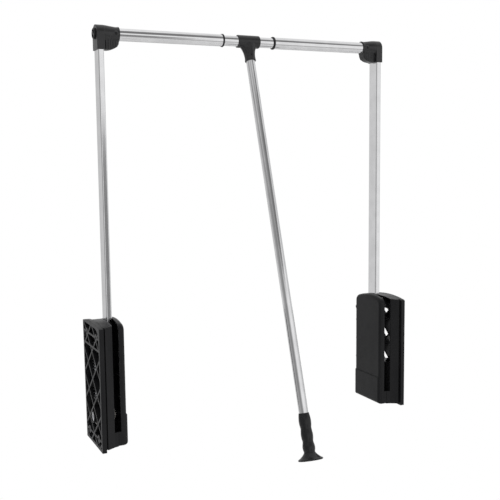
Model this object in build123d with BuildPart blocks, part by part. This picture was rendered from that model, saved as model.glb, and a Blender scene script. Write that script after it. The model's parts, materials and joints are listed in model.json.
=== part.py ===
"""Pull-down wardrobe lift.

A clothes rail hangs between two side housings on a pair of spring-assisted arms. A pull rod
swings the rail forward and down. The centre of the rail is telescopic, so the lift fits
wardrobes of several widths.

Millimetres. +X runs along the rail from the left housing to the right one, -Y is the front
and +Z is up. The origin is on the left wall face, straight below the arm, at the housing's
lower edge.
"""
from build123d import *
import math
import os

os.makedirs("parts", exist_ok=True)

# ---- driving dimensions ---------------------------------------------------------------------
WIDTH = 726.0           # wall to wall
HEIGHT = 850.0          # housing foot to the top of the corner connectors
RAIL_Z = 832.5          # height of the rail's axis
ARM_X = 37.0            # arm centre plane, from the wall
ROD_TILT = 18.0         # pull rod leans forward by this angle
MID_X = WIDTH / 2

# housing
FRONT_Y = -74.0         # front edge of the wall flange
BACK_Y = 52.0           # flange's back edge at its foot
BACK_TOP_Y = 58.0       # and at its top
SHELL_BACK_Y = 51.0
HOUSING_TOP = 250.0
SHELL_CROWN = 257.5     # top of the shell's arch
FLANGE_T = 9.0          # flange thickness
FLANGE_LIP = 4.0        # how far it stands proud of the shell, in front and below
RIM_W = 7.0             # flange's flat rim round the ribbed recess
GROOVE_X = 12.0         # groove between flange and shell ends here
GROOVE_DEPTH = 3.5
WALL = 2.5              # moulded wall thickness
SLOT_X0 = 30.0          # shell's edge of the arm slot
SLOT_X1 = 44.2          # cover's edge of the arm slot
SLOT_FRONT_Y = -60.0    # shell's front face beside the slot
SILL_Z = 34.0           # lower end of the slot
SEAM_X = 38.0           # shell meets cover here, behind and below the arm
SPLIT_Y = 20.0          # behind this line the housing is closed across the slot
COVER_FRONT_Y = -57.0
COVER_FACE_X = 57.0
COVER_TOP = 260.0
PANEL_X = 59.2          # raised lower panel of the cover
PANEL_TOP = 68.0
RIB_DEPTH = 5.0         # behind the arm
DEEP_RIB_DEPTH = 24.0   # in front of it
RIB_W = 4.0
RIB_PITCH = 57.0

# arm and its pivot
PIVOT_Z = 56.0
PIN_R = 6.0
RUNNING = 0.05          # radial clearance of every running fit
ARM_DEPTH = 32.0
ARM_T = 12.0
ARM_WALL = 1.2
ARM_BASE_Z = 72.0
ARM_TOP_Z = 836.0
FOOT_T = 11.6

# spring unit
CRANK_R = 22.0
CRANK_ANGLE = -42.0
CRANK_PIN_R = 4.0
ROD_X = 17.0
ROD_SPREAD = 20.0
ROD_R = 3.0
SPRING_R = 6.0          # to the wire's centre
SPRING_WIRE_R = 1.0
SPRING_TURNS = 20
YOKE_TOP = 82.0
ANCHOR_Z = 200.0
ANCHOR_T = 3.0

# rail
TUBE_R = 12.5
TUBE_WALL = 1.0
INNER_R = 11.0
RING_X = 301.0          # face of the tube's end ring, from the wall
RING_T = 4.0
MOUTH_X = 77.0          # mouth of the corner connector, from the wall
INNER_HALF = 260.0

# handle
TEE_LENGTH = 51.0
TEE_R = 13.5
STEM_END = 45.0
PULL_R = 9.5
GRIP_START = 791.0
GRIP_END = 883.0

crank_y = CRANK_R * math.cos(math.radians(CRANK_ANGLE))
crank_z = PIVOT_Z + CRANK_R * math.sin(math.radians(CRANK_ANGLE))
rod_ys = (crank_y - ROD_SPREAD / 2, crank_y + ROD_SPREAD / 2)
wall_screw_points = [(y, z) for y in (-46, 26) for z in (22, 230)]
cover_screw_points = [(45.5, 30), (45.5, 222), (-46, 10)]


def save(builder, name):
    """Label one piece and write it."""
    builder.part.label = name
    export_step(builder.part, f"parts/{name}.step")


def save_pair(builder, name):
    """Write the left piece and its mirror image for the right side."""
    with BuildPart() as other:
        mirror(builder.part, about=Plane.YZ.offset(MID_X))
    save(builder, "left_" + name)
    save(other, "right_" + name)


def flange_outline():
    """Side view of the wall flange: its top follows the shell's arch to a tight front corner."""
    with BuildSketch() as outline:
        with BuildLine():
            Polyline((BACK_TOP_Y, HOUSING_TOP), (BACK_Y, 0), (FRONT_Y, 0), (FRONT_Y, 251))
            ThreePointArc((FRONT_Y, 251), (-15, SHELL_CROWN), (BACK_TOP_Y, HOUSING_TOP))
        make_face()
        fillet(outline.vertices().filter_by(lambda v: v.X < 0 and v.Y > 200), radius=4)
    return outline.sketch


def recess_outline(inset):
    """Side view of the ribbed recess inside the flange's rim: its top falls to a round front."""
    front = FRONT_Y + RIM_W + inset
    top = HOUSING_TOP - 2 - inset
    low = RIM_W - 1 + inset
    with BuildSketch() as outline:
        with BuildLine():
            Polyline((-10, top), (BACK_TOP_Y - 6 - inset, top), (BACK_Y - 6 - inset, low),
                     (front, low), (front, 216))
            Spline((front, 216), (-60 + inset * 0.6, 239 - inset * 0.8), (-10, top),
                   tangents=((0, 1), (1, 0)))
        make_face()
    return outline.sketch


def shell_outline(inset):
    """Side view of the shell behind the flange: arched top, tight front corner."""
    back = SHELL_BACK_Y - inset
    front = FRONT_Y + FLANGE_LIP + inset
    low = FLANGE_LIP + inset
    with BuildSketch() as outline:
        with BuildLine():
            Polyline((back, 249 - inset), (back, low), (front, low), (front, 252 - inset))
            ThreePointArc((front, 252 - inset), (-15, SHELL_CROWN - inset), (back, 249 - inset))
        make_face()
        fillet(outline.vertices().sort_by(Axis.Y)[-1], radius=6 - inset)
    return outline.sketch


def cover_outline(inset):
    """Side view of the inner cover, whose top is arched."""
    back = SHELL_BACK_Y - inset
    front = COVER_FRONT_Y + inset
    low = FLANGE_LIP + inset
    with BuildSketch() as outline:
        with BuildLine():
            Polyline((back, 249 - inset), (back, low), (front, low), (front, 252 - inset))
            ThreePointArc((front, 252 - inset), (-12, COVER_TOP - inset), (back, 249 - inset))
        make_face()
        fillet(outline.vertices().group_by(Axis.Y)[0], radius=3)
        fillet(outline.vertices().sort_by(Axis.Y)[-2:], radius=15 - inset)
    return outline.sketch


def front_wedge(y_shift, x_start, x_end):
    """Plan view of what lies in front of the shell's slanting front face."""
    front = FRONT_Y + FLANGE_LIP + y_shift
    corners = [
        (x_start, -120),
        (x_start, front + GROOVE_DEPTH),
        (GROOVE_X, front + GROOVE_DEPTH),
        (GROOVE_X + 1, front),
        (SLOT_X0, SLOT_FRONT_Y + y_shift),
        (x_end, COVER_FRONT_Y + y_shift),
        (x_end, -120),
    ]
    with BuildSketch() as wedge:
        with BuildLine():
            Polyline(*corners, close=True)
        make_face()
    return wedge.sketch


def discs(points, radius, mode=Mode.ADD):
    """Circles at the (y, z) points of a side-view sketch."""
    with Locations(*points):
        Circle(radius, mode=mode)


# ---- mount shell ------------------------------------------------------------------------------
with BuildPart() as shell_cavity:
    with BuildSketch(Plane.YZ.offset(-1)):
        add(recess_outline(3))
    extrude(amount=FLANGE_T + 1)
    with BuildSketch(Plane.YZ.offset(FLANGE_T)):
        add(shell_outline(WALL))
    extrude(amount=SEAM_X + 2 - FLANGE_T)
    with BuildSketch(Plane.XY.offset(-5)):
        add(front_wedge(WALL, -2, SEAM_X + 3))
    extrude(amount=300, mode=Mode.SUBTRACT)
    with BuildSketch(Plane.YZ.offset(-1)):
        add(recess_outline(0))
    extrude(amount=RIB_DEPTH)

with BuildPart() as mount_shell:
    with BuildSketch(Plane.YZ):
        add(flange_outline())
    extrude(amount=FLANGE_T)
    with BuildSketch(Plane.YZ.offset(FLANGE_T)):
        add(shell_outline(0))
    extrude(amount=SEAM_X - FLANGE_T)
    with BuildSketch(Plane.XY.offset(-5)):
        add(front_wedge(0, FLANGE_T, SEAM_X + 1))
    extrude(amount=300, mode=Mode.SUBTRACT)
    # arm slot, open to the front and the top
    with BuildSketch(Plane.YZ.offset(SLOT_X0)):
        with Locations((SPLIT_Y, SILL_Z)):
            Rectangle(140, 260, align=(Align.MAX, Align.MIN))
    extrude(amount=20, mode=Mode.SUBTRACT)
    add(shell_cavity.part, mode=Mode.SUBTRACT)
    # crossed ribs on the wall side: shallow behind the arm, deep in front of it
    for depth, rear in ((RIB_DEPTH, 60), (DEEP_RIB_DEPTH, -9)):
        with BuildSketch(Plane.YZ):
            for k in range(-1, 6):
                with Locations((-11.5, 25 + RIB_PITCH * k)):
                    Rectangle(190, RIB_W, rotation=40.4)
                    Rectangle(190, RIB_W, rotation=-40.4)
            for z in (22, 206, 230):
                with Locations((-11.5, z)):
                    Rectangle(130, RIB_W)
            add(recess_outline(-0.5), mode=Mode.INTERSECT)
            with Locations((rear, 0)):
                Rectangle(200, 600, align=(Align.MAX, Align.CENTER), mode=Mode.INTERSECT)
        extrude(amount=depth)
    # screw pads, cover-screw bosses and the pivot boss
    with BuildSketch(Plane.YZ):
        discs(wall_screw_points, 8.0)
        discs([(0, PIVOT_Z)], 13.0)
    extrude(amount=6)
    with BuildSketch(Plane.YZ):
        discs(cover_screw_points, 4.5)
    extrude(amount=SEAM_X)
    with BuildSketch(Plane.YZ):
        discs([(0, PIVOT_Z)], 10.0)
    extrude(amount=28)
    # guard beside the arm foot, with its ledge
    with BuildSketch(Plane.YZ.offset(27)):
        with Locations((-59, FLANGE_LIP)):
            Rectangle(50, 96, align=(Align.MIN, Align.MIN))
        discs([(0, PIVOT_Z)], 14.5, mode=Mode.SUBTRACT)
        discs([(-46, 22)], 6.0, mode=Mode.SUBTRACT)
    extrude(amount=SLOT_X0 - 27)
    with BuildSketch(Plane.YZ.offset(2)):
        with Locations((-66, 98)):
            Rectangle(57, 2.5, align=(Align.MIN, Align.MIN))
    extrude(amount=SLOT_X0 - 2)
    # ledges that hold the spring anchor down, and the arm stop's rib
    with BuildSketch(Plane.YZ.offset(2)):
        with Locations((SHELL_BACK_Y - 1, ANCHOR_Z + ANCHOR_T)):
            Rectangle(13, 6, align=(Align.MAX, Align.MIN))
        with Locations((-5, ANCHOR_Z + ANCHOR_T)):
            Rectangle(4, 6, align=(Align.MIN, Align.MIN))
    extrude(amount=SLOT_X0 - 2)
    with BuildSketch(Plane.YZ.offset(SLOT_X0)):
        with Locations((22, 212)):
            Rectangle(28, 20, align=(Align.MIN, Align.MIN))
    extrude(amount=SEAM_X - SLOT_X0)
    # trim anything that stands through the slanting front
    with BuildSketch(Plane.XY.offset(-5)):
        add(front_wedge(0.2, FLANGE_T, SEAM_X + 1))
    extrude(amount=300, mode=Mode.SUBTRACT)
    # bores: wall screws, cover screws and the pivot pin
    with BuildSketch(Plane.YZ.offset(-1)):
        discs(wall_screw_points, 2.7)
        discs(cover_screw_points, 2.0)
        discs([(0, PIVOT_Z)], PIN_R)
    extrude(amount=60, mode=Mode.SUBTRACT)
    with BuildSketch(Plane.YZ.offset(-1)):
        discs(cover_screw_points, 3.4)
    extrude(amount=27, mode=Mode.SUBTRACT)
    # driver access through the deep ribs
    with BuildSketch(Plane.YZ.offset(6)):
        discs([point for point in wall_screw_points if point[0] < 0], 6.0)
    extrude(amount=20, mode=Mode.SUBTRACT)
    with BuildSketch(Plane.YZ.offset(-1)):
        discs([(0, PIVOT_Z)], 10.5)
    extrude(amount=5, mode=Mode.SUBTRACT)
    with Locations(*[Location((3.3, y, z), (0, 90, 0)) for y, z in wall_screw_points]):
        Cone(2.7, 5.4, 2.8, align=(Align.CENTER, Align.CENTER, Align.MIN), mode=Mode.SUBTRACT)
save_pair(mount_shell, "mount_shell")

# ---- inner cover ------------------------------------------------------------------------------
with BuildPart() as lower_panel:
    with BuildSketch(Plane.YZ.offset(SEAM_X + 2)):
        add(cover_outline(0.4))
        with Locations((0, PANEL_TOP)):
            Rectangle(200, 300, align=(Align.CENTER, Align.MIN), mode=Mode.SUBTRACT)
    extrude(amount=PANEL_X - SEAM_X - 2)
    outer = lower_panel.faces().sort_by(Axis.X)[-1]
    fillet(outer.edges().filter_by(Axis.Z), radius=7)
    fillet(lower_panel.faces().sort_by(Axis.X)[-1].edges().filter_by(Axis.Y), radius=2)

with BuildPart() as inner_cover:
    with BuildSketch(Plane.YZ.offset(SEAM_X)):
        add(cover_outline(0))
    extrude(amount=COVER_FACE_X - SEAM_X)
    fillet(inner_cover.faces().sort_by(Axis.X)[-1].edges(), radius=7.5)
    add(lower_panel.part)
    with BuildSketch(Plane.YZ.offset(SEAM_X - 1)):
        add(cover_outline(WALL))
    extrude(amount=COVER_FACE_X - WALL - SEAM_X + 1, mode=Mode.SUBTRACT)
    # screw bosses and the boss that carries the end of the pivot pin
    with BuildSketch(Plane.YZ.offset(SEAM_X)):
        discs(cover_screw_points, 4.5)
    extrude(amount=COVER_FACE_X - SEAM_X - 1)
    with BuildSketch(Plane.YZ.offset(45.5)):
        discs([(0, PIVOT_Z)], 9.5)
    extrude(amount=COVER_FACE_X - 46.5)
    # stiffening ribs behind the face
    with BuildSketch(Plane.YZ.offset(48)):
        for z in (100, 145, 190):
            with Locations((-3, z)):
                Rectangle(103, 1.6)
    extrude(amount=COVER_FACE_X - 48 - 1)
    with BuildSketch(Plane.YZ.offset(SEAM_X - 1)):
        with Locations((SPLIT_Y, SILL_Z)):
            Rectangle(140, 260, align=(Align.MAX, Align.MIN))
    extrude(amount=SLOT_X1 - SEAM_X + 1, mode=Mode.SUBTRACT)
    with BuildSketch(Plane.YZ.offset(SEAM_X - 1)):
        discs(cover_screw_points, 1.6)
    extrude(amount=11, mode=Mode.SUBTRACT)
    with BuildSketch(Plane.YZ.offset(SLOT_X1)):
        discs([(0, PIVOT_Z)], PIN_R)
    extrude(amount=6, mode=Mode.SUBTRACT)
save_pair(inner_cover, "inner_cover")

with BuildPart() as cover_screws:
    for y, z in cover_screw_points:
        with Locations(Location((23.8, y, z), (0, 90, 0))):
            Cylinder(3.0, 2.2, align=(Align.CENTER, Align.CENTER, Align.MIN))
            Cylinder(1.6, 20, align=(Align.CENTER, Align.CENTER, Align.MIN))
        with Locations(Location((23.8, y, z), (0, 90, 0))):
            Cylinder(1.2, 1.0, align=(Align.CENTER, Align.CENTER, Align.MIN), mode=Mode.SUBTRACT)
save_pair(cover_screws, "cover_screws")

# ---- pivot ------------------------------------------------------------------------------------
with BuildPart() as pivot_pin:
    with Locations(Location((1, 0, PIVOT_Z), (0, 90, 0))):
        Cylinder(10.0, 3.0, align=(Align.CENTER, Align.CENTER, Align.MIN))
        Cylinder(PIN_R, 49.0, align=(Align.CENTER, Align.CENTER, Align.MIN))
    fillet(pivot_pin.faces().sort_by(Axis.X)[0].edges(), radius=1.0)
    with Locations(Location((1, 0, PIVOT_Z), (0, 90, 0))):
        Cylinder(3.0, 1.8, align=(Align.CENTER, Align.CENTER, Align.MIN), mode=Mode.SUBTRACT)
save_pair(pivot_pin, "pivot_pin")

with BuildPart() as pivot_washers:
    for x, thickness in ((28.0, 2.9), (43.1, 2.4)):
        with BuildSketch(Plane.YZ.offset(x)):
            discs([(0, PIVOT_Z)], 13.0)
            discs([(0, PIVOT_Z)], PIN_R, mode=Mode.SUBTRACT)
        extrude(amount=thickness)
save_pair(pivot_washers, "pivot_washers")

# ---- arm --------------------------------------------------------------------------------------
with BuildPart() as arm_foot:
    with BuildSketch(Plane.YZ.offset(ARM_X - FOOT_T / 2)):
        with BuildSketch(mode=Mode.PRIVATE) as eye_and_crank:
            discs([(0, PIVOT_Z)], 14.0)
            discs([(crank_y, crank_z)], 8.0)
            make_hull()
        add(eye_and_crank.sketch)
        with Locations((0, PIVOT_Z)):
            Rectangle(26, ARM_BASE_Z - PIVOT_Z, align=(Align.CENTER, Align.MIN))
    extrude(amount=FOOT_T)
    with BuildSketch(Plane.XY.offset(ARM_BASE_Z - 0.5)):
        with Locations((ARM_X, 0)):
            RectangleRounded(ARM_T - 2 * ARM_WALL, ARM_DEPTH - 2 * ARM_WALL, 1.4)
    extrude(amount=40)
    with BuildSketch(Plane.YZ.offset(20)):
        discs([(0, PIVOT_Z)], PIN_R + RUNNING)
        discs([(crank_y, crank_z)], CRANK_PIN_R)
        discs([(0, 85), (0, 102)], 3.0)
    extrude(amount=40, mode=Mode.SUBTRACT)
save_pair(arm_foot, "arm_foot")

with BuildPart() as crank_pin:
    with Locations(Location((9, crank_y, crank_z), (0, 90, 0))):
        Cylinder(6.0, 1.6, align=(Align.CENTER, Align.CENTER, Align.MIN))
        Cylinder(CRANK_PIN_R, 34.6, align=(Align.CENTER, Align.CENTER, Align.MIN))
save_pair(crank_pin, "crank_pin")

with BuildPart() as arm_rivets:
    for z in (85, 102):
        with Locations((ARM_X, 0, z)):
            Cylinder(3.0, ARM_T, rotation=(0, 90, 0))
        for side in (-1, 1):
            with Locations((ARM_X + side * (ARM_T / 2 + 0.4), 0, z)):
                Cylinder(4.5, 0.8, rotation=(0, 90, 0))
save_pair(arm_rivets, "arm_rivets")

with BuildPart() as arm_tube:
    with BuildSketch(Plane.XY.offset(ARM_BASE_Z)):
        with Locations((ARM_X, 0)):
            RectangleRounded(ARM_T, ARM_DEPTH, 2.6)
            RectangleRounded(
                ARM_T - 2 * ARM_WALL, ARM_DEPTH - 2 * ARM_WALL, 1.4, mode=Mode.SUBTRACT
            )
    extrude(amount=ARM_TOP_Z - ARM_BASE_Z)
    with BuildSketch(Plane.YZ.offset(20)):
        discs([(0, 85), (0, 102)], 3.0)
        discs([(0, 812)], 2.0)
    extrude(amount=40, mode=Mode.SUBTRACT)
save_pair(arm_tube, "arm_tube")

# ---- spring unit ------------------------------------------------------------------------------
with BuildPart() as spring_yoke:
    with BuildSketch(Plane.YZ.offset(ROD_X - 6)):
        discs([(crank_y, crank_z)], 8.0)
        with Locations((crank_y, crank_z)):
            Rectangle(10, 71 - crank_z, align=(Align.CENTER, Align.MIN))
        discs([(crank_y, crank_z)], CRANK_PIN_R + RUNNING, mode=Mode.SUBTRACT)
    extrude(amount=12)
    with BuildSketch(Plane.XY.offset(70)):
        with Locations((ROD_X, crank_y)):
            RectangleRounded(14, 36, 5)
        for y in rod_ys:
            with Locations((ROD_X, y)):
                Circle(ROD_R, mode=Mode.SUBTRACT)
    extrude(amount=YOKE_TOP - 70)
save_pair(spring_yoke, "spring_yoke")

with BuildPart() as spring_rods:
    for y in rod_ys:
        with Locations((ROD_X, y, 70)):
            Cylinder(ROD_R, 136, align=(Align.CENTER, Align.CENTER, Align.MIN))
    chamfer(spring_rods.faces().sort_by(Axis.Z)[-1].edges(), length=0.8)
save_pair(spring_rods, "spring_rods")

with BuildPart() as spring_anchor:
    with BuildSketch(Plane.XY.offset(ANCHOR_Z)):
        with Locations((5.3, -5)):
            Rectangle(23.7, 49.3, align=(Align.MIN, Align.MIN))
        for y in rod_ys:
            with Locations((ROD_X, y + 1.2)):
                SlotOverall(16.6, 2 * ROD_R + 0.8, rotation=90, mode=Mode.SUBTRACT)
    extrude(amount=ANCHOR_T)
save_pair(spring_anchor, "spring_anchor")

spring_length = ANCHOR_Z - YOKE_TOP
for side, x in (("left", ROD_X), ("right", WIDTH - ROD_X)):
    with BuildPart() as springs:
        for y in rod_ys:
            base = YOKE_TOP + SPRING_WIRE_R + 0.1
            rise = spring_length - 2 * SPRING_WIRE_R - 0.2
            with BuildLine(Plane((x, y, base))) as coil:
                Helix(pitch=rise / SPRING_TURNS, height=rise, radius=SPRING_R)
            with BuildSketch(Plane(origin=coil.line @ 0, z_dir=coil.line % 0)):
                Circle(SPRING_WIRE_R)
            sweep(path=coil.line, is_frenet=True)
    save(springs, side + "_springs")

with BuildPart() as arm_stop:
    with Locations((34.5, 16.2, 222)):
        Box(7, 5.8, 16, align=(Align.CENTER, Align.MIN, Align.CENTER))
    fillet(arm_stop.faces().sort_by(Axis.Y)[0].edges(), radius=1.5)
save_pair(arm_stop, "arm_stop")

# ---- corner connector -------------------------------------------------------------------------
SOCKET_X0 = ARM_X - 8.0
SOCKET_X1 = ARM_X + 8.0
with BuildPart() as corner_connector:
    # arm socket, rounded over the rail's axis
    with BuildSketch(Plane.YZ.offset(SOCKET_X0)):
        discs([(0, RAIL_Z)], 17.5)
        with Locations((0, 800.5)):
            Rectangle(36, 34, align=(Align.CENTER, Align.MIN))
        with Locations((0, 834)):
            Rectangle(34, 12)
    extrude(amount=SOCKET_X1 - SOCKET_X0)
    # boss that narrows to the rail's mouth, with a bell lip
    with BuildSketch(Plane.XZ):
        with BuildLine():
            Polyline(
                (SOCKET_X1 - 1, RAIL_Z),
                (SOCKET_X1 - 1, RAIL_Z + 17.5),
                (SOCKET_X1 + 4, RAIL_Z + 17.2),
            )
            Spline(
                (SOCKET_X1 + 4, RAIL_Z + 17.2),
                (60, RAIL_Z + 15.6),
                (72, RAIL_Z + 14.6),
                (MOUTH_X - 1.5, RAIL_Z + 15.2),
            )
            Polyline(
                (MOUTH_X - 1.5, RAIL_Z + 15.2),
                (MOUTH_X, RAIL_Z + 14.6),
                (MOUTH_X, RAIL_Z),
                (SOCKET_X1 - 1, RAIL_Z),
            )
        make_face()
    revolve(axis=Axis((0, 0, RAIL_Z), (1, 0, 0)))
    # web under the boss
    with BuildSketch(Plane.XZ):
        with BuildLine():
            Polyline(
                (MOUTH_X - 1, RAIL_Z - 13),
                (SOCKET_X1 - 1, RAIL_Z - 13),
                (SOCKET_X1 - 1, 800.5),
                (52, 800.5),
            )
            Spline(
                (52, 800.5),
                (67, 806.5),
                (MOUTH_X - 1, RAIL_Z - 13),
                tangents=((1, 0), (0.15, 1)),
            )
        make_face()
    extrude(amount=11, both=True)
    # flutes in the web's sides
    with BuildSketch(Plane.XY.offset(795)):
        for x in (52, 58, 64, 70):
            for side in (-1, 1):
                with Locations((x, side * 12.2)):
                    Circle(2.2)
    extrude(amount=RAIL_Z - 13 - 795 - 4, mode=Mode.SUBTRACT)
    # arm socket and rail socket
    with BuildSketch(Plane.XY.offset(799)):
        with Locations((ARM_X, 0)):
            RectangleRounded(ARM_T, ARM_DEPTH, 2.6)
    extrude(amount=ARM_TOP_Z - 799, mode=Mode.SUBTRACT)
    with BuildSketch(Plane.YZ.offset(SOCKET_X1 + 1.5)):
        discs([(0, RAIL_Z)], TUBE_R)
    extrude(amount=60, mode=Mode.SUBTRACT)
    # screw recesses: rail screw in front, arm screw behind
    with Locations((68, -11, RAIL_Z)):
        Cylinder(2.8, 8, rotation=(90, 0, 0), align=(Align.CENTER, Align.CENTER, Align.MIN),
                 mode=Mode.SUBTRACT)
    with Locations((ARM_X, 0, 812)):
        Cylinder(2.0, 30, rotation=(0, 90, 0), align=(Align.CENTER, Align.CENTER, Align.MIN),
                 mode=Mode.SUBTRACT)
save_pair(corner_connector, "corner_connector")

with BuildPart() as connector_cap:
    with BuildSketch(Plane.YZ.offset(SOCKET_X0 - 4)):
        discs([(0, RAIL_Z)], 11.0)
    extrude(amount=4)
    fillet(connector_cap.faces().sort_by(Axis.X)[0].edges(), radius=1.0)
    # two kidney recesses either side of a slanting bar
    with BuildSketch(Plane.YZ.offset(SOCKET_X0 - 4)):
        discs([(0, RAIL_Z)], 8.4)
        with Locations((0, RAIL_Z)):
            Rectangle(24, 4.4, rotation=35, mode=Mode.SUBTRACT)
    extrude(amount=2.5, mode=Mode.SUBTRACT)
save_pair(connector_cap, "connector_cap")

with BuildPart() as rail_screw:
    with Locations(Location((68, -TUBE_R - 0.01, RAIL_Z), (90, 0, 0))):
        Cylinder(2.8, 1.8, align=(Align.CENTER, Align.CENTER, Align.MIN))
    with Locations(Location((68, -TUBE_R - 0.8, RAIL_Z), (90, 0, 0))):
        Cylinder(1.3, 2, align=(Align.CENTER, Align.CENTER, Align.MIN), mode=Mode.SUBTRACT)
save_pair(rail_screw, "rail_screw")

with BuildPart() as arm_screw:
    with Locations(Location((ARM_X + ARM_T / 2 - 2.5, 0, 812), (0, 90, 0))):
        Cylinder(2.0, 7.5, align=(Align.CENTER, Align.CENTER, Align.MIN))
save_pair(arm_screw, "arm_screw")

# ---- rail -------------------------------------------------------------------------------------
with BuildPart() as rail_tube:
    with BuildSketch(Plane.YZ.offset(SOCKET_X1 + 1.5)):
        discs([(0, RAIL_Z)], TUBE_R)
        discs([(0, RAIL_Z)], TUBE_R - TUBE_WALL, mode=Mode.SUBTRACT)
    extrude(amount=RING_X - SOCKET_X1 - 1.5)
save_pair(rail_tube, "rail_tube")

with BuildPart() as rail_ring:
    with BuildSketch(Plane.YZ.offset(RING_X)):
        discs([(0, RAIL_Z)], 13.7)
    extrude(amount=RING_T)
    fillet(rail_ring.edges().filter_by(GeomType.CIRCLE), radius=0.9)
    with BuildSketch(Plane.YZ.offset(RING_X - 22)):
        discs([(0, RAIL_Z)], TUBE_R - TUBE_WALL)
    extrude(amount=22)
    with BuildSketch(Plane.YZ.offset(RING_X - 30)):
        discs([(0, RAIL_Z)], INNER_R + RUNNING)
    extrude(amount=50, mode=Mode.SUBTRACT)
save_pair(rail_ring, "rail_ring")

with BuildPart() as centre_tube:
    with BuildSketch(Plane.YZ.offset(MID_X - INNER_HALF)):
        discs([(0, RAIL_Z)], INNER_R)
        discs([(0, RAIL_Z)], INNER_R - TUBE_WALL, mode=Mode.SUBTRACT)
    extrude(amount=2 * INNER_HALF)
save(centre_tube, "centre_tube")

with BuildPart() as tee_keeper:
    with BuildSketch(Plane.YZ.offset(MID_X - 1.2)):
        discs([(0, RAIL_Z)], INNER_R + 1.2)
        discs([(0, RAIL_Z)], INNER_R, mode=Mode.SUBTRACT)
        with Locations((0, RAIL_Z + INNER_R)):
            Rectangle(6, 6, mode=Mode.SUBTRACT)
    extrude(amount=2.4)
save(tee_keeper, "tee_keeper")

# ---- handle: everything below hangs from the rail's axis along the leaning rod ----------------
lean = math.radians(ROD_TILT)
down = Vector(0, -math.sin(lean), -math.cos(lean))
ROD_PLANE = Plane(origin=(MID_X, 0, RAIL_Z), x_dir=(1, 0, 0), z_dir=down)
ROD_AXIS = Axis((MID_X, 0, RAIL_Z), down)
PROFILE_PLANE = Plane(origin=(MID_X, 0, RAIL_Z), x_dir=(1, 0, 0), z_dir=Vector(1, 0, 0).cross(down))

with BuildPart() as handle_tee:
    with BuildSketch(Plane.YZ.offset(MID_X - TEE_LENGTH / 2)):
        discs([(0, RAIL_Z)], TEE_R)
    extrude(amount=TEE_LENGTH)
    fillet(handle_tee.edges().filter_by(GeomType.CIRCLE), radius=1.2)
    # stem: wide where it leaves the barrel, narrow neck, small flare at the end
    with BuildSketch(ROD_PLANE.offset(3)) as stem_top:
        Ellipse(22.5, 12.6)
    with BuildSketch(ROD_PLANE.offset(16)) as stem_upper:
        Ellipse(16.5, 12.2)
    with BuildSketch(ROD_PLANE.offset(27)) as stem_middle:
        Ellipse(12.6, 11.9)
    with BuildSketch(ROD_PLANE.offset(37)) as stem_neck:
        Ellipse(11.4, 11.4)
    with BuildSketch(ROD_PLANE.offset(STEM_END)) as stem_lip:
        Ellipse(11.9, 11.9)
    loft()
    # bores for the rail, its keeper and the rod
    with BuildSketch(Plane.YZ.offset(MID_X - 40)):
        discs([(0, RAIL_Z)], INNER_R + RUNNING)
    extrude(amount=80, mode=Mode.SUBTRACT)
    with BuildSketch(Plane.YZ.offset(MID_X - 1.5)):
        discs([(0, RAIL_Z)], INNER_R + 1.55)
    extrude(amount=3, mode=Mode.SUBTRACT)
    with BuildSketch(ROD_PLANE.offset(15)):
        Circle(PULL_R)
    extrude(amount=40, mode=Mode.SUBTRACT)
    with Locations(Plane(origin=ROD_PLANE.from_local_coords((0, 0, 33)),
                         z_dir=Vector(1, 0, 0).cross(down) * -1).location):
        Cylinder(1.8, 30, align=(Align.CENTER, Align.CENTER, Align.MIN), mode=Mode.SUBTRACT)
save(handle_tee, "handle_tee")

with BuildPart() as pull_rod:
    with BuildSketch(ROD_PLANE.offset(15)):
        Circle(PULL_R)
        Circle(PULL_R - TUBE_WALL, mode=Mode.SUBTRACT)
    extrude(amount=GRIP_START + 70 - 15)
    with Locations(Plane(origin=ROD_PLANE.from_local_coords((0, 0, 33)),
                         z_dir=Vector(1, 0, 0).cross(down) * -1).location):
        Cylinder(1.8, 30, align=(Align.CENTER, Align.CENTER, Align.MIN), mode=Mode.SUBTRACT)
save(pull_rod, "pull_rod")

with BuildPart() as tee_screw:
    with Locations(Plane(origin=ROD_PLANE.from_local_coords((0, 0, 33)),
                         z_dir=Vector(1, 0, 0).cross(down) * -1).location):
        Cylinder(1.8, 11.4, align=(Align.CENTER, Align.CENTER, Align.MIN))
        Cylinder(0.9, 6, align=(Align.CENTER, Align.CENTER, Align.MIN), mode=Mode.SUBTRACT)
save(tee_screw, "tee_screw")

grip_profile = [
    (10.7, 0), (12.3, 14), (10.9, 28), (12.0, 42), (10.7, 55), (12.5, 66), (11.2, 75),
]
with BuildPart() as grip:
    with BuildSketch(PROFILE_PLANE):
        with BuildLine():
            Line((0, GRIP_START), (grip_profile[0][0], GRIP_START))
            Spline(*[(radius, GRIP_START + along) for radius, along in grip_profile])
            Line((grip_profile[-1][0], GRIP_START + 75), (0, GRIP_START + 75))
            Line((0, GRIP_START + 75), (0, GRIP_START))
        make_face()
    revolve(axis=ROD_AXIS)
    with BuildSketch(ROD_PLANE.offset(GRIP_START - 1)):
        Circle(PULL_R)
    extrude(amount=71, mode=Mode.SUBTRACT)
save(grip, "grip")

with BuildPart() as grip_foot:
    with BuildSketch(PROFILE_PLANE):
        with BuildLine():
            Line((0, GRIP_START + 75), (11.2, GRIP_START + 75))
            Spline((11.2, GRIP_START + 75), (14.2, GRIP_START + 81), (24.4, GRIP_END - 3))
            Polyline((24.4, GRIP_END - 3), (25, GRIP_END - 2.4), (25, GRIP_END - 0.6),
                     (24.4, GRIP_END), (0, GRIP_END), (0, GRIP_START + 75))
        make_face()
    revolve(axis=ROD_AXIS)
    # shallow dish underneath
    with BuildSketch(ROD_PLANE.offset(GRIP_END)):
        Circle(20)
    extrude(amount=-2, taper=30, mode=Mode.SUBTRACT)
save(grip_foot, "grip_foot")
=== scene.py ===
"""Looks of the pull-down wardrobe lift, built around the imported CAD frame."""
import json
import math

import bpy
import bmesh
from mathutils import Matrix, Vector


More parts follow.
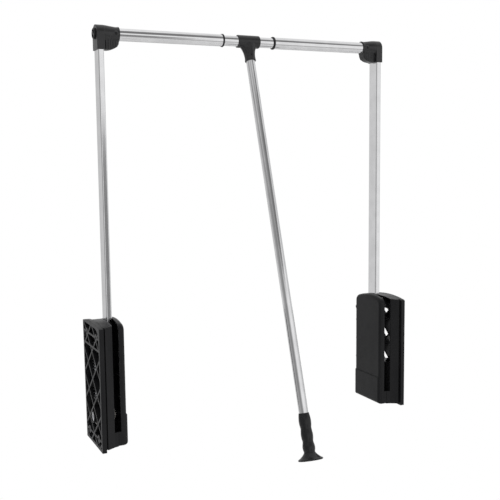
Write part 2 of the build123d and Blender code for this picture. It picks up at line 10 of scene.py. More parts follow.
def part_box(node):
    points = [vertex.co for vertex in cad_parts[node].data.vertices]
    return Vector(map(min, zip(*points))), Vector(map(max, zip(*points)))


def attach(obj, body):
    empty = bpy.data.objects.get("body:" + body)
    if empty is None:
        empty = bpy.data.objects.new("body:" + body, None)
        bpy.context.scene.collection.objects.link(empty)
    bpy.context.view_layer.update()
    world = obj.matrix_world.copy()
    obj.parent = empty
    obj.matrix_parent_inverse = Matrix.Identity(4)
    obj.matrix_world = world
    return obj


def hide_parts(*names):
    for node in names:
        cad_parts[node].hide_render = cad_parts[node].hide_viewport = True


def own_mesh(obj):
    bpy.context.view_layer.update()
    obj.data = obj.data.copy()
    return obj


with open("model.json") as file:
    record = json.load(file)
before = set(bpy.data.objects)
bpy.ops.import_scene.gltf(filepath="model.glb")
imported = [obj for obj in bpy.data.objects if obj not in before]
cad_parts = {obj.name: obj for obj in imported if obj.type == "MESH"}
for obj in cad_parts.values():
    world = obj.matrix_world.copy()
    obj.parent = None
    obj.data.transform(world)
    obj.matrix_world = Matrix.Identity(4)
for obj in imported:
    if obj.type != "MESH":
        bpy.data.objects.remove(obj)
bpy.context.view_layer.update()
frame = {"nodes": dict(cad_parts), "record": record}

SIDES = ("left", "right")

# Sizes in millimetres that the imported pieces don't give directly.
MM = 0.001
ROD_TILT = math.radians(18.0)         # pull rod leans forward by this angle
ROD_R = 9.5                           # pull rod
BARREL_R = 13.5                       # tee's barrel round the rail
SOCKET_WIDTH = 16.0                   # corner connector's block, along the rail
ARM_HALF = (6.0, 16.0)                # half the arm's section, along the rail and across it
ARM_CORNER = 2.6                      # arm's corner radius
LOCK_SCREW_Z = 33.0                   # tee's screw, down the rod from the rail's axis
LOCK_SCREW_LENGTH = 11.4
GRIP_SPAN = (791.0, 883.0)            # grip with its foot, down the rod from the rail's axis
RAIL_SCREW_X = 68.0                   # rail screw, from the wall


# ---- materials ----------------------------------------------------------------------------
def new_material(name):
    """An empty material with a Principled shader; returns material, nodes, links, shader."""
    material = bpy.data.materials.new(name)
    material.use_nodes = True
    nodes = material.node_tree.nodes
    links = material.node_tree.links
    return material, nodes, links, nodes["Principled BSDF"]


def noise(nodes, links, scale, detail=2.0, stretch=(1, 1, 1), seed=0.0):
    """Noise in object space, at a scale in cells per metre, stretched along an axis."""
    coordinates = nodes.new("ShaderNodeTexCoord")
    mapping = nodes.new("ShaderNodeMapping")
    mapping.inputs["Scale"].default_value = stretch
    mapping.inputs["Location"].default_value = (seed, seed * 0.7, seed * 0.3)
    texture = nodes.new("ShaderNodeTexNoise")
    texture.inputs["Scale"].default_value = scale
    texture.inputs["Detail"].default_value = detail
    links.new(coordinates.outputs["Object"], mapping.inputs["Vector"])
    links.new(mapping.outputs["Vector"], texture.inputs["Vector"])
    return texture.outputs["Fac"]


def spread(nodes, links, source, low, high):
    """Map a noise value to a number between low and high."""
    node = nodes.new("ShaderNodeMapRange")
    node.inputs["From Min"].default_value = 0.3
    node.inputs["From Max"].default_value = 0.7
    node.inputs["To Min"].default_value = low
    node.inputs["To Max"].default_value = high
    links.new(source, node.inputs["Value"])
    return node.outputs["Result"]


def tint(nodes, links, source, dark, light):
    """Map a noise value to a colour between dark and light."""
    ramp = nodes.new("ShaderNodeValToRGB")
    ramp.color_ramp.elements[0].position = 0.32
    ramp.color_ramp.elements[0].color = (*dark, 1)
    ramp.color_ramp.elements[1].position = 0.68
    ramp.color_ramp.elements[1].color = (*light, 1)
    links.new(source, ramp.inputs["Fac"])
    return ramp.outputs["Color"]


def relief(nodes, links, shader, source, distance, strength=1.0, base=None):
    """Bump from a height value; distance in metres. Stacks on an earlier bump."""
    bump = nodes.new("ShaderNodeBump")
    bump.inputs["Distance"].default_value = distance
    bump.inputs["Strength"].default_value = strength
    links.new(source, bump.inputs["Height"])
    if base is not None:
        links.new(base, bump.inputs["Normal"])
    links.new(bump.outputs["Normal"], shader.inputs["Normal"])
    return bump.outputs["Normal"]


def moulded_plastic(name, dark, light, rough, grain, grain_depth, soft_edge=0.0, shine=0.3):
    """Injection-moulded plastic: spark-eroded grain, faint flow marks, uneven gloss."""
    material, nodes, links, shader = new_material(name)
    shader.inputs["Specular IOR Level"].default_value = shine
    flow = noise(nodes, links, 22, detail=3.0, stretch=(1, 1, 0.35))
    links.new(tint(nodes, links, flow, dark, light), shader.inputs["Base Color"])
    gloss = noise(nodes, links, 60, detail=4.0, seed=3.0)
    links.new(spread(nodes, links, gloss, rough - 0.05, rough + 0.06), shader.inputs["Roughness"])
    base = None
    if soft_edge:
        edge = nodes.new("ShaderNodeBevel")
        edge.samples = 6
        edge.inputs["Radius"].default_value = soft_edge
        base = edge.outputs["Normal"]
    relief(nodes, links, shader, noise(nodes, links, grain, detail=3.0, seed=9.0), grain_depth,
           base=base)
    return material


def plated_metal(name, dark, light, rough, along, soft_edge=0.0):
    """Chrome or zinc plate: faint drawn streaks along the tube and hazy patches."""
    material, nodes, links, shader = new_material(name)
    shader.inputs["Metallic"].default_value = 1.0
    stretch = tuple(0.02 if axis == along else 1.0 for axis in "xyz")
    streaks = noise(nodes, links, 900, detail=2.0, stretch=stretch)
    haze = noise(nodes, links, 35, detail=3.0, seed=5.0)
    links.new(tint(nodes, links, haze, dark, light), shader.inputs["Base Color"])
    links.new(spread(nodes, links, streaks, rough * 0.8, rough * 1.25), shader.inputs["Roughness"])
    base = None
    if soft_edge:
        edge = nodes.new("ShaderNodeBevel")
        edge.samples = 6
        edge.inputs["Radius"].default_value = soft_edge
        base = edge.outputs["Normal"]
    relief(nodes, links, shader, streaks, 0.000004, base=base)
    return material


MATERIALS = {
    "housing_plastic": moulded_plastic("housing plastic", (0.009, 0.009, 0.010),
                                       (0.015, 0.015, 0.016), 0.34, 2600, 0.00004, 0.0012,
                                       shine=0.18),
    "joint_plastic": moulded_plastic("joint plastic", (0.014, 0.014, 0.015),
                                     (0.021, 0.021, 0.022), 0.32, 3200, 0.00003, 0.0006,
                                     shine=0.5),
    "cap_plastic": moulded_plastic("cap plastic", (0.008, 0.008, 0.009),
                                   (0.012, 0.012, 0.013), 0.34, 3200, 0.00003, 0.0003),
    "ring_plastic": moulded_plastic("ring plastic", (0.010, 0.010, 0.011),
                                    (0.015, 0.015, 0.016), 0.35, 3200, 0.00002, 0.0003),
    "grip_plastic": moulded_plastic("grip plastic", (0.014, 0.014, 0.015),
                                    (0.020, 0.020, 0.022), 0.24, 3600, 0.00001, 0.0),
    "bearing_plastic": moulded_plastic("bearing plastic", (0.62, 0.60, 0.55),
                                       (0.72, 0.70, 0.65), 0.45, 2600, 0.00002, 0.0004),
    "arm_chrome": plated_metal("arm chrome", (0.80, 0.80, 0.81), (0.88, 0.88, 0.89), 0.10, "z"),
    "rail_chrome": plated_metal("rail chrome", (0.80, 0.80, 0.81), (0.90, 0.90, 0.91), 0.07, "x"),
    "centre_chrome": plated_metal("centre chrome", (0.80, 0.80, 0.81), (0.90, 0.90, 0.91), 0.07,
                                  "x"),
    "rod_chrome": plated_metal("rod chrome", (0.80, 0.80, 0.81), (0.90, 0.90, 0.91), 0.08, "z"),
    "screw_steel": plated_metal("zinc plate", (0.55, 0.55, 0.57), (0.70, 0.71, 0.74), 0.25, "x",
                                0.0003),
    "black_screw": plated_metal("blackened steel", (0.03, 0.03, 0.03), (0.05, 0.05, 0.055), 0.35,
                                "y", 0.0002),
    "plate_steel": plated_metal("plate steel", (0.48, 0.49, 0.51), (0.62, 0.63, 0.65), 0.32, "z",
                                0.0003),
    # spring steel darkened to near black: painted shade, so the springs look as dark as the shaded
    # inside of the housing
    "spring_steel": plated_metal("spring steel in painted shade", (0.04, 0.04, 0.042), (0.07, 0.07, 0.075), 0.35,
                                 "z"),
    "cast_metal": plated_metal("die cast", (0.45, 0.45, 0.46), (0.60, 0.60, 0.61), 0.40, "z",
                               0.0005),
    "stop_rubber": moulded_plastic("stop rubber", (0.016, 0.016, 0.016), (0.024, 0.024, 0.024),
                                   0.70, 1800, 0.00006, 0.0008),
}

slot_of = {entry["node"]: entry["material_slot"] for entry in frame["record"]["subparts"]}
for node, obj in frame["nodes"].items():
    for material_slot in obj.material_slots:
        material_slot.material = MATERIALS[slot_of[node]]


# ---- mesh tools -----------------------------------------------------------------------------
def mesh_object(name, points, faces):
    """A new object from points in millimetres and their faces."""
    data = bpy.data.meshes.new(name)
    data.from_pydata([Vector(point) * MM for point in points], [], faces)
    data.update()
    obj = bpy.data.objects.new(name, data)
    bpy.context.scene.collection.objects.link(obj)
    return obj


def loft(name, rings, closed=True):
    """Skin a list of rings that all have the same number of points; closed caps both ends."""
    count = len(rings[0])
    points = [point for ring in rings for point in ring]
    faces = []
    for row in range(len(rings) - 1):
        for k in range(count):
            near, far = row * count + k, row * count + (k + 1) % count
            faces.append((near, far, far + count, near + count))
    if closed:
        faces.append(tuple(reversed(range(count))))
        faces.append(tuple(range((len(rings) - 1) * count, len(rings) * count)))
    return mesh_object(name, points, faces)


def frame_of(axis):
    """Two unit vectors square to an axis, the first as near to +X as can be."""
    axis = Vector(axis).normalized()
    first = Vector((1, 0, 0)) if abs(axis.x) < 0.9 else Vector((0, 1, 0))
    first = (first - axis * first.dot(axis)).normalized()
    return first, axis.cross(first)


def turned(name, origin, axis, profile, steps=64, closed=True):
    """A turned piece: profile holds (radius, distance along the axis)."""
    origin, axis = Vector(origin), Vector(axis).normalized()
    first, second = frame_of(axis)
    rings = []
    for radius, along in profile:
        ring = []
        for k in range(steps):
            angle = 2 * math.pi * k / steps
            ring.append(origin + axis * along
                        + (first * math.cos(angle) + second * math.sin(angle)) * radius)
        rings.append(ring)
    return loft(name, rings, closed)


def smooth_profile(points, steps=6):
    """Catmull-Rom through (radius, along) points."""
    result = []
    for k in range(len(points) - 1):
        before = points[max(k - 1, 0)]
        start, end = points[k], points[k + 1]
        after = points[min(k + 2, len(points) - 1)]
        for step in range(steps):
            t = step / steps
            result.append(tuple(
                0.5 * (2 * b + (c - a) * t + (2 * a - 5 * b + 4 * c - d) * t * t
                       + (3 * b - a - 3 * c + d) * t ** 3)
                for a, b, c, d in zip(before, start, end, after)))
    result.append(tuple(points[-1]))
    return result


def prism(name, outline, place, low, high):
    """Extrude a closed outline; place(u, v, w) gives the point, w running from low to high."""
    return loft(name, [[place(u, v, w) for u, v in outline] for w in (low, high)])


def baked(obj):
    """Apply an object's modifiers."""
    bpy.context.view_layer.update()
    evaluated = obj.evaluated_get(bpy.context.evaluated_depsgraph_get())
    data = bpy.data.meshes.new_from_object(evaluated)
    obj.modifiers.clear()
    obj.data = data
    return obj


def melted(name, parts, voxel, rounds):
    """Fuse closed parts into one skin and soften the joins, as a mould does."""
    target = bmesh.new()
    for part in parts:
        target.from_mesh(part.data)
        bpy.data.objects.remove(part)
    bmesh.ops.recalc_face_normals(target, faces=target.faces)
    data = bpy.data.meshes.new(name)
    target.to_mesh(data)
    target.free()
    obj = bpy.data.objects.new(name, data)
    bpy.context.scene.collection.objects.link(obj)
    remesh = obj.modifiers.new("fuse", "REMESH")
    remesh.mode = "VOXEL"
    remesh.voxel_size = voxel * MM
    soften = obj.modifiers.new("soften", "SMOOTH")
    soften.factor = 0.5
    soften.iterations = rounds
    return baked(obj)


def carved(obj, cutters):
    """Cut closed parts out of a piece."""
    for cutter in cutters:
        bmesh_data = bmesh.new()
        bmesh_data.from_mesh(cutter.data)
        bmesh.ops.recalc_face_normals(bmesh_data, faces=bmesh_data.faces)
        bmesh_data.to_mesh(cutter.data)
        bmesh_data.free()
        cut = obj.modifiers.new("cut", "BOOLEAN")
        cut.operation = "DIFFERENCE"
        cut.solver = "EXACT"
        cut.object = cutter
        baked(obj)
        bpy.data.objects.remove(cutter)
    return obj


def finished(obj, material, body, replaced, sharp=40.0):
    """Shade a piece, give it its material, and tie it to its body."""
    obj.data.materials.clear()
    obj.data.materials.append(MATERIALS[material])
    obj.data.shade_smooth()
    obj.data.set_sharp_from_angle(angle=math.radians(sharp))
    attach(obj, body)
    if replaced:
        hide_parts(*replaced)
    return obj


def node_box(node):
    """A node's low and high corners in millimetres."""
    low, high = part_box(node)
    return Vector(low) / MM, Vector(high) / MM


# ---- where things are -------------------------------------------------------------------------
rail_low, rail_high = node_box("left_rail_tube")
RAIL_Y = (rail_low.y + rail_high.y) / 2
RAIL_Z = (rail_low.z + rail_high.z) / 2
TUBE_R = (rail_high.z - rail_low.z) / 2
centre_low, centre_high = node_box("centre_tube")
INNER_R = (centre_high.z - centre_low.z) / 2
MID_X = (centre_low.x + centre_high.x) / 2
ROD_DOWN = Vector((0, -math.sin(ROD_TILT), -math.cos(ROD_TILT)))
ROD_SIDE = Vector((1, 0, 0)).cross(ROD_DOWN)
RAIL_CENTRE = Vector((MID_X, RAIL_Y, RAIL_Z))


def outward(side):
    """Function that mirrors left-hand points (x from the left wall) to the given side."""
    if side == "left":
        return lambda x, y, z: (x, y, z)
    return lambda x, y, z: (2 * MID_X - x, y, z)


# ---- corner connectors --------------------------------------------------------------------------
def corner_connector(side):
    """Moulded corner: arm socket, boss that narrows to the rail, ribbed web below it."""
    at = outward(side)
    along = (1, 0, 0) if side == "left" else (-1, 0, 0)
    low, high = node_box("left_corner_connector")
    socket_x0, mouth_x, foot_z, top_z = low.x, high.x, low.z, high.z
    socket_x1 = socket_x0 + SOCKET_WIDTH
    half = (high.y - low.y) / 2
    crown = top_z - RAIL_Z
    # socket block, arched over the rail's axis
    arch = [(half, foot_z), (half, RAIL_Z)]
    for k in range(1, 24):
        angle = math.pi * k / 24
        arch.append((half * math.cos(angle), RAIL_Z + crown * math.sin(angle)))
    arch += [(-half, RAIL_Z), (-half, foot_z)]
    block = prism("block", arch, lambda u, v, w: at(w, u, v), socket_x0, socket_x1)
    # boss with a bell lip
    boss = turned("boss", at(0, RAIL_Y, RAIL_Z), along, smooth_profile([
        (17.3, socket_x1 - 2), (17.2, socket_x1 + 3), (16.5, 54), (15.4, 62), (14.6, 69),
        (14.5, 73), (15.1, 75.6), (15.0, mouth_x)]))
    # web below the boss: a plate with upright ribs, its foot curved up to the mouth
    bend_x, bend_z = 50, RAIL_Z - 17
    foot = [(mouth_x - 0.6, RAIL_Z - 13.5), (mouth_x - 1.6, bend_z)]
    reach = mouth_x - 1.6 - bend_x
    drop = bend_z - foot_z
    for k in range(1, 13):
        angle = math.pi / 2 * k / 12
        foot.append((bend_x + reach * math.cos(angle), bend_z - drop * math.sin(angle)))
    foot += [(socket_x1 - 2, foot_z), (socket_x1 - 2, RAIL_Z - 8), (mouth_x - 0.6, RAIL_Z - 8)]
    web = prism("web", foot, lambda u, v, w: at(u, w, v), -9.2, 9.2)
    ribs = []
    for x in (49.5, 54.5, 59.5, 64.5, 69.5):
        share = min(max((x - bend_x) / reach, 0.0), 1.0)
        rib_foot = bend_z - drop * math.sqrt(1 - share ** 2)
        for y in (-9.0, 9.0):
            ribs.append(turned("rib", at(x, y, 0), (0, 0, 1), [
                (0.8, rib_foot + 0.4), (2.5, rib_foot + 1.6), (2.5, RAIL_Z - 12), (0.8, RAIL_Z - 10),
            ], steps=16))
    seat = turned("seat", at(0, RAIL_Y, RAIL_Z), along, [
        (12.4, socket_x0), (13.0, socket_x0 + 0.8), (13.0, socket_x0 + 3)])
    pad = turned("pad", at(RAIL_SCREW_X, 0, RAIL_Z), (0, -1, 0), [
        (5.2, 8), (5.2, 14.4), (4.6, 15.2)], steps=32)
    obj = melted(side + "_connector", [block, boss, web, seat, pad] + ribs, 0.55, 5)
    # sockets
    arm_low, arm_high = node_box("left_arm_tube")
    arm_x = (arm_low.x + arm_high.x) / 2
    rounded = []
    for k in range(32):
        angle = 2 * math.pi * (k + 0.5) / 32
        corner_x = math.copysign(ARM_HALF[0] - ARM_CORNER, math.cos(angle))
        corner_y = math.copysign(ARM_HALF[1] - ARM_CORNER, math.sin(angle))
        rounded.append((corner_x + ARM_CORNER * math.cos(angle),
                        corner_y + ARM_CORNER * math.sin(angle)))
    arm_socket = prism("socket", rounded, lambda u, v, w: at(arm_x + u, v, w), foot_z - 3,
                       arm_high.z)
    rail_socket = turned("bore", at(0, RAIL_Y, RAIL_Z), along,
                         [(TUBE_R, rail_low.x), (TUBE_R, mouth_x + 5)])
    screw_hole = turned("hole", at(RAIL_SCREW_X, 0, RAIL_Z), (0, -1, 0),
                        [(2.8, TUBE_R - 3), (2.8, 15.0), (3.5, 15.6), (3.5, 20)], steps=32)
    carved(obj, [arm_socket, rail_socket, screw_hole])
    return finished(obj, "joint_plastic", side + "_arm",
                    [side + "_corner_connector"], sharp=50)


def connector_cap(side):
    """Round cap with two kidney pockets either side of a slanting bar."""
    at = outward(side)
    along = (-1, 0, 0) if side == "left" else (1, 0, 0)
    low, high = node_box("left_connector_cap")
    radius = (high.z - low.z) / 2
    disc = turned("disc", at(high.x, RAIL_Y, RAIL_Z), along, [
        (radius, 0.0), (radius, 2.4), (radius - 0.3, 3.3), (radius - 1.1, 3.9), (radius - 1.8, 4.0)])
    obj = melted(side + "_cap", [disc], 0.35, 3)
    pockets = []
    for sign in (-1, 1):
        outline = []
        tilt = math.radians(35)
        gap = 2.6
        reach = radius - 2.9
        start = math.asin(gap / reach)
        for k in range(15):
            angle = start + (math.pi - 2 * start) * k / 14
            outline.append((reach * math.cos(angle), sign * reach * math.sin(angle)))
        turned_outline = [(u * math.cos(tilt) - v * math.sin(tilt),
                           u * math.sin(tilt) + v * math.cos(tilt)) for u, v in outline]
        pockets.append(prism("pocket", turned_outline,
                             lambda u, v, w: at(w, u, RAIL_Z + v), low.x - 1, low.x + 2.4))
    carved(obj, pockets)
    return finished(obj, "cap_plastic", side + "_arm", [side + "_connector_cap"],
                    sharp=35)


def rail_ring(side):
    """Black end ring of the rail tube, with its sleeve inside the tube."""
    at = outward(side)
    along = (1, 0, 0) if side == "left" else (-1, 0, 0)
    low, high = node_box("left_rail_ring")
    bore = INNER_R + 0.05
    lip = (high.z - low.z) / 2
    face = high.x - 4
    profile = [(bore, low.x), (bore, high.x - 0.5), (bore + 0.4, high.x), (lip - 1.2, high.x),
               (lip - 0.4, high.x - 0.35), (lip, high.x - 1.0), (lip, face + 0.9),
               (lip - 0.5, face + 0.2), (lip - 1.1, face), (TUBE_R - 1.0, face),
               (TUBE_R - 1.0, low.x), (bore, low.x)]
    obj = turned(side + "_ring", at(0, RAIL_Y, RAIL_Z), along, profile, steps=96, closed=False)
    weld = obj.modifiers.new("weld", "WELD")
    weld.merge_threshold = 0.00001
    baked(obj)
    return finished(obj, "ring_plastic", side + "_arm", [side + "_rail_ring"])


for side in SIDES:
    corner_connector(side)
    connector_cap(side)
    rail_ring(side)


# ---- centre tee ---------------------------------------------------------------------------------
def centre_tee():
    """Tee that turns on the centre tube: barrel and a fluted stem for the pull rod."""
    low, high = node_box("handle_tee")
    half = (high.x - low.x) / 2
    barrel = turned("barrel", RAIL_CENTRE, (1, 0, 0), smooth_profile([
        (12.4, -half), (13.3, -half + 0.9), (BARREL_R, -half + 2.5), (BARREL_R, 0),
        (BARREL_R, half - 2.5), (13.3, half - 0.9), (12.4, half)], steps=4))
    first, second = Vector((1, 0, 0)), ROD_SIDE
    # width along the rail, width across it, and how deep the flutes are, down the stem
    stations = [
        (2, 23.0, 12.0, 0.0), (8, 21.2, 12.4, 0.0), (13, 18.4, 12.2, 0.35), (18, 15.6, 11.9, 0.55),
        (24, 13.3, 11.7, 0.6), (30, 12.0, 11.5, 0.5), (36, 11.5, 11.4, 0.3), (40, 11.6, 11.5, 0.1),
        (42.5, 12.0, 11.9, 0.0), (44.4, 12.0, 11.9, 0.0), (45, 11.6, 11.5, 0.0),
    ]
    rings = []
    for along, wide, deep, flute in stations:
        ring = []
        for k in range(96):
            angle = 2 * math.pi * k / 96
            grow = 1 + flute * (math.cos(10 * angle) - 1) / 2 / 11.0
            ring.append(RAIL_CENTRE + ROD_DOWN * along + first * (wide * grow * math.cos(angle))
                        + second * (deep * grow * math.sin(angle)))
        rings.append(ring)
    stem = loft("stem", rings)
    obj = melted("centre_tee", [barrel, stem], 0.55, 5)
    rail_bore = turned("bore", RAIL_CENTRE, (1, 0, 0), [(INNER_R + 0.05, -40), (INNER_R + 0.05, 40)])
    rod_bore = turned("bore", RAIL_CENTRE, ROD_DOWN, [(ROD_R, 15), (ROD_R, 60)])
    screw_at = RAIL_CENTRE + ROD_DOWN * LOCK_SCREW_Z
    screw_hole = turned("hole", screw_at, -second, [(1.8, 8.8), (1.8, 10.6), (2.6, 11.2), (2.6, 16)],
                        steps=32)
    carved(obj, [rail_bore, rod_bore, screw_hole])
    return finished(obj, "joint_plastic", "pull_handle", ["handle_tee"], sharp=50)


centre_tee()


def tee_screw():
    """Black recessed screw that locks the rod in the tee."""
    length = LOCK_SCREW_LENGTH
    obj = turned("tee_lock_screw", RAIL_CENTRE + ROD_DOWN * LOCK_SCREW_Z, -ROD_SIDE, [
        (1.8, length - 7.0), (1.8, length - 0.4), (1.5, length), (1.0, length),
        (1.0, length - 1.2)], steps=24)
    return finished(obj, "black_screw", "pull_handle", ["tee_screw"])


tee_screw()


# ---- grip -----------------------------------------------------------------------------------------
def handle_grip():
    """Bulged grip with a flared foot."""
    start, end = GRIP_SPAN
    outer = smooth_profile([
        (10.5, start + 0.6), (10.9, start + 3), (11.9, start + 10), (12.3, start + 16),
        (11.9, start + 23), (10.9, start + 29.5), (11.5, start + 36), (12.1, start + 42),
        (11.7, start + 49), (10.7, start + 55.5), (11.7, start + 61), (12.5, start + 66),
        (12.2, start + 71), (11.3, start + 75), (11.6, start + 77.5), (14.6, start + 81.5),
        (19.5, start + 86), (24.2, start + 89),
    ], steps=5)
    profile = [(ROD_R, start + 72), (ROD_R, start + 0.5), (ROD_R + 0.3, start)]
    profile += [(10.2, start)] + outer
    profile += [(24.8, end - 2.4), (25.0, end - 1.6), (24.8, end - 0.7), (24.0, end), (21.0, end),
                (19.4, end - 1.6), (10.0, end - 2.0), (0.05, end - 2.0)]
    obj = turned("handle_grip", RAIL_CENTRE, ROD_DOWN, profile, steps=96, closed=True)
    return finished(obj, "grip_plastic", "pull_handle", ["grip", "grip_foot"],
                    sharp=45)


handle_grip()


# ---- springs ------------------------------------------------------------------------------------
def spring_pair(side):
    """Two compression springs on their rods. They ride with the rods."""
    low, high = node_box(side + "_springs")
    rods_low, rods_high = node_box(side + "_spring_rods")
    axis_x = (rods_low.x + rods_high.x) / 2
    rod_r = (rods_high.x - rods_low.x) / 2
    coil_r, wire_r, coils, sides = 6.0, 1.0, 20, 8
    steps = 26 * coils
    bottom, top = low.z + wire_r, high.z - wire_r
    points, faces = [], []
    for axis_y in (rods_low.y + rod_r, rods_high.y - rod_r):
        first_point = len(points)
        for step in range(steps + 1):
            share = step / steps
            angle = 2 * math.pi * coils * share
            # the end coils lie flat, as ground ends do
            climb = min(max((share * coils - 1) / (coils - 2), 0.0), 1.0)
            height = bottom + (top - bottom) * (0.02 * share + 0.98 * climb)
            out = Vector((math.cos(angle), math.sin(angle), 0))
            for k in range(sides):
                turn = 2 * math.pi * k / sides
                offset = out * math.cos(turn) * wire_r + Vector((0, 0, math.sin(turn) * wire_r))
                points.append(Vector((axis_x, axis_y, height)) + out * coil_r + offset)
        for step in range(steps):
            for k in range(sides):
                near = first_point + step * sides + k
                far = first_point + step * sides + (k + 1) % sides
                faces.append((near, near + sides, far + sides, far))
        faces.append(tuple(first_point + k for k in range(sides)))
        faces.append(tuple(first_point + steps * sides + k for k in reversed(range(sides))))
    obj = mesh_object(side + "_coil_springs", points, faces)
    # the springs' near-black steel is painted shade from the housing around them
    finished(obj, "spring_steel", side + "_spring_rod", [side + "_springs"])
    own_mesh(obj)


for side in SIDES:
    spring_pair(side)


# ---- stage, light and camera ----------------------------------------------------------------
scene = bpy.context.scene
scene.view_settings.view_transform = "Standard"
scene.view_settings.look = "None"

FLOOR_Z = -0.9
FLOOR_HALF = 2.4
floor_mesh = bmesh.new()
bmesh.ops.create_grid(floor_mesh, x_segments=1, y_segments=1, size=FLOOR_HALF)
floor_data = bpy.data.meshes.new("floor")
floor_mesh.to_mesh(floor_data)
floor_mesh.free()
floor = bpy.data.objects.new("floor", floor_data)
floor.location = (0.36, 0, FLOOR_Z)
scene.collection.objects.link(floor)
floor_material, nodes, links, shader = new_material("floor")
shader.inputs["Roughness"].default_value = 0.9
links.new(tint(nodes, links, noise(nodes, links, 3), (0.86, 0.86, 0.86), (0.88, 0.88, 0.88)),
          shader.inputs["Base Color"])
# To the camera the floor is plain white; the reflections see its grey.
glow = nodes.new("ShaderNodeEmission")
glow.inputs["Color"].default_value = (1, 1, 1, 1)
glow.inputs["Strength"].default_value = 1.0
light_path = nodes.new("ShaderNodeLightPath")
choose = nodes.new("ShaderNodeMixShader")
links.new(light_path.outputs["Is Camera Ray"], choose.inputs["Fac"])
links.new(shader.outputs["BSDF"], choose.inputs[1])
links.new(glow.outputs["Emission"], choose.inputs[2])
links.new(choose.outputs["Shader"], nodes["Material Output"].inputs["Surface"])
floor_data.materials.append(floor_material)

# The studio: a room of graded greys with a dark flag, a ceiling band and a lamp panel, which
# draw the streaks on the chrome tubes. Its levels were set to match the streaks in the
# photograph. It is read by direction: compass bearing and height. The camera sees plain white.
world = bpy.data.worlds.new("studio")
scene.world = world
world.use_nodes = True
nodes = world.node_tree.nodes
links = world.node_tree.links
background = nodes["Background"]


def calculate(operation, *inputs):
    """A math node fed by sockets or plain numbers."""
    node = nodes.new("ShaderNodeMath")
    node.operation = operation
    for socket, value in zip(node.inputs, inputs):
        if isinstance(value, (int, float)):
            socket.default_value = value
        else:
            links.new(value, socket)
    return node.outputs["Value"]


def levels(source, stops):
    """Grey value along a 0 to 1 source, through (position, value) stops."""
    ramp = nodes.new("ShaderNodeValToRGB")
    ramp.color_ramp.interpolation = "EASE"
    elements = ramp.color_ramp.elements
    while len(elements) < len(stops):
        elements.new(0.5)
    for element, (position, value) in zip(elements, stops):
        element.position = position
        element.color = (value, value, value, 1)
    links.new(source, ramp.inputs["Fac"])
    return ramp.outputs["Color"]


def covered(under, over, amount):
    """One grey level laid over another, by an amount from 0 to 1."""
    return calculate("MULTIPLY_ADD", calculate("SUBTRACT", over, under), amount, under)


def bearing(degrees):
    """Compass bearing, 0 to the front and growing towards +X, as a 0 to 1 position."""
    return (degrees + 180) / 360


def rise(degrees):
    """Height above the horizon as a 0 to 1 position."""
    return (math.sin(math.radians(degrees)) + 1) / 2


direction = nodes.new("ShaderNodeTexCoord")
separate = nodes.new("ShaderNodeSeparateXYZ")
links.new(direction.outputs["Generated"], separate.inputs["Vector"])
toward_front = calculate("MULTIPLY", separate.outputs["Y"], -1.0)
turn = calculate("ARCTAN2", separate.outputs["X"], toward_front)
compass = calculate("MULTIPLY_ADD", turn, 0.5 / math.pi, 0.5)
height = calculate("MULTIPLY_ADD", separate.outputs["Z"], 0.5, 0.5)

walls = levels(compass, [
    (bearing(-180), 0.57), (bearing(-165), 0.59), (bearing(-146), 0.66), (bearing(-115), 0.52),
    (bearing(-95), 0.36), (bearing(-70), 0.32), (bearing(-57), 0.24), (bearing(-44), 0.29),
    (bearing(-32), 0.42), (bearing(-20), 0.62), (bearing(-8), 0.88), (bearing(48), 0.84),
    (bearing(62), 0.62), (bearing(95), 0.58), (bearing(118), 0.85), (bearing(150), 0.95),
    (bearing(170), 0.66), (bearing(180), 0.57)])
ground = levels(height, [(rise(-26), 1.0), (rise(-17), 0.0)])
room = covered(walls, 0.38, ground)
flag_side = levels(compass, [(bearing(6), 0.0), (bearing(9), 1.0), (bearing(19), 1.0),
                             (bearing(23), 0.0)])
flag_height = levels(height, [(rise(-27), 0.0), (rise(-24), 1.0), (rise(0), 1.0), (rise(4), 0.0)])
room = covered(room, 0.24, calculate("MULTIPLY", flag_side, flag_height))
ceiling = levels(compass, [
    (bearing(-180), 0.50), (bearing(-58), 0.58), (bearing(-45), 0.38), (bearing(-15), 0.28),
    (bearing(5), 0.19), (bearing(42), 0.21), (bearing(54), 0.60), (bearing(66), 0.80),
    (bearing(175), 0.80), (bearing(180), 0.50)])
ceiling_height = levels(height, [(rise(24), 0.0), (rise(27), 1.0), (rise(63), 1.0),
                                 (rise(67), 0.0)])
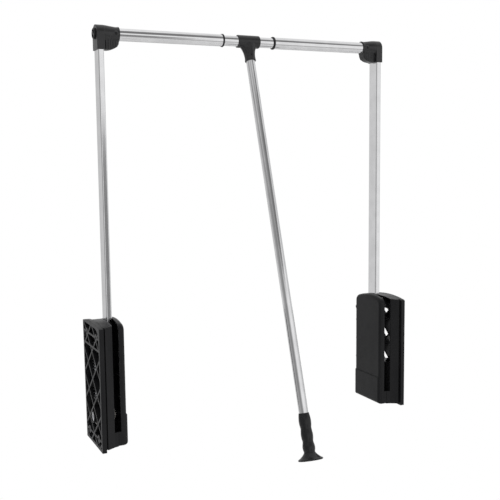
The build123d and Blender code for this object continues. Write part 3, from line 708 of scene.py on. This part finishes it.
room = covered(room, ceiling, ceiling_height)
lamp_side = levels(compass, [(bearing(-60), 0.0), (bearing(-50), 1.0), (bearing(12), 1.0),
                             (bearing(22), 0.0)])
lamp_height = levels(height, [(rise(37), 0.0), (rise(40), 1.0), (rise(60), 1.0),
                              (rise(63), 0.0)])
room = covered(room, 0.60, calculate("MULTIPLY", lamp_side, lamp_height))
room = covered(room, 0.85, levels(height, [(rise(67), 0.0), (rise(71), 1.0)]))

camera_ray = nodes.new("ShaderNodeLightPath")
room = covered(room, 1.0, camera_ray.outputs["Is Camera Ray"])
links.new(room, background.inputs["Color"])
background.inputs["Strength"].default_value = 1.0


def softbox(name, place, aim, size, power):
    """A square area light that faces a point."""
    data = bpy.data.lights.new(name, "AREA")
    data.size = size
    data.energy = power
    light = bpy.data.objects.new(name, data)
    light.visible_glossy = False
    light.location = place
    light.rotation_euler = (Vector(aim) - Vector(place)).to_track_quat("-Z", "Y").to_euler()
    scene.collection.objects.link(light)
    return light


softbox("key light", (-1.2, -2.2, 1.9), (0.36, 0, 0.4), 1.2, 16)
softbox("fill light", (2.6, -1.8, 1.2), (0.36, 0, 0.4), 1.4, 8)
softbox("rim light", (-1.6, 1.4, 1.6), (0.36, 0, 0.4), 1.0, 8)

# Camera: in front of the object and to its left, lower than the rail, turned to its middle.
CAMERA_PLACE = (-0.3991, -1.6373, 0.5805)
CAMERA_YAW = math.radians(24.97)
CAMERA_PITCH = math.radians(-6.27)
CAMERA_ROLL = math.radians(-0.62)
CAMERA_LENS = 59.15
camera_data = bpy.data.cameras.new("camera")
camera_data.sensor_width = 36.0
camera_data.lens = CAMERA_LENS
camera = bpy.data.objects.new("camera", camera_data)
camera.matrix_world = (
    Matrix.Translation(CAMERA_PLACE)
    @ Matrix.Rotation(-CAMERA_YAW, 4, "Z")
    @ Matrix.Rotation(math.radians(90) + CAMERA_PITCH, 4, "X")
    @ Matrix.Rotation(CAMERA_ROLL, 4, "Z")
)
scene.collection.objects.link(camera)
scene.camera = camera
